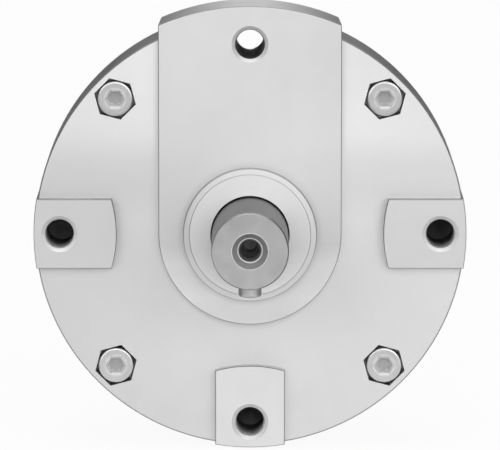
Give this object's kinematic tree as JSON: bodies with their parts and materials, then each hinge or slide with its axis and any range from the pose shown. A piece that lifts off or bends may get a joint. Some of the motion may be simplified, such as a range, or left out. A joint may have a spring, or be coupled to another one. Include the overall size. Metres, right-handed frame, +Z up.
{
  "type": "rotary actuator",
  "caption": "Round vane type rotary actuator with a cast flange body, raised mounting pads, a centring collar and a keyed steel output shaft.",
  "frame": {"origin": "on the shaft axis, in the mounting plane of the tongue and the three pads", "axes": "shaft points to -Y, +Z up towards the tongue and the air ports, +X to the right seen from the front"},
  "size_m": [0.1136, 0.099, 0.1168],
  "materials": {
    "cast_aluminium": "blasted casting with a fine even grain",
    "turned_aluminium": "turned, clear anodised",
    "zinc_steel": "zinc plated",
    "shaft_steel": "ground, satin",
    "key_steel": "drawn",
    "bearing_steel": "ground and polished",
    "cage_plastic": "moulded",
    "seal_rubber": "moulded nitrile",
    "spring_steel": "oiled spring steel",
    "machined_aluminium": "milled"
  },
  "bodies": {
    "housing": {"front_housing": "cast_aluminium", "rear_housing": "cast_aluminium", "housing_gasket": "seal_rubber", "housing_screws": "zinc_steel", "housing_nuts": "zinc_steel", "front_bearing_cap": "turned_aluminium", "rear_bearing_cap": "turned_aluminium", "front_bearing_outer_ring": "bearing_steel", "rear_bearing_outer_ring": "bearing_steel", "front_shaft_seal": "seal_rubber", "rear_shaft_seal": "seal_rubber", "bore_retaining_ring": "spring_steel", "stator_shoe": "machined_aluminium", "stator_seal": "seal_rubber", "stop_buffers": "seal_rubber", "stator_dowels": "spring_steel"},
    "rotor": {"drive_shaft": "shaft_steel", "feather_key": "key_steel", "vane": "machined_aluminium", "vane_key": "key_steel", "vane_seal": "seal_rubber", "front_bearing_inner_ring": "bearing_steel", "rear_bearing_inner_ring": "bearing_steel", "shaft_retaining_ring": "spring_steel"},
    "front_ball_set": {"front_bearing_balls": "bearing_steel", "front_bearing_cage": "cage_plastic"},
    "rear_ball_set": {"rear_bearing_balls": "bearing_steel", "rear_bearing_cage": "cage_plastic"}
  },
  "joints": [
    {"name": "swing", "type": "hinge", "parent": "housing", "child": "rotor", "pos_m": [0, 0, 0], "axis": [0, -1, 0], "range_deg": [-135, 135]},
    {"name": "front_balls_roll", "type": "hinge", "parent": "housing", "child": "front_ball_set", "pos_m": [0, 0.0035, 0], "axis": [0, -1, 0], "range_deg": [-60, 60]},
    {"name": "rear_balls_roll", "type": "hinge", "parent": "housing", "child": "rear_ball_set", "pos_m": [0, 0.0505, 0], "axis": [0, -1, 0], "range_deg": [-60, 60]}
  ],
  "couplings": [
    {"joint": "front_balls_roll", "follows": "swing", "ratio": 0.43269},
    {"joint": "rear_balls_roll", "follows": "swing", "ratio": 0.43269}
  ]
}
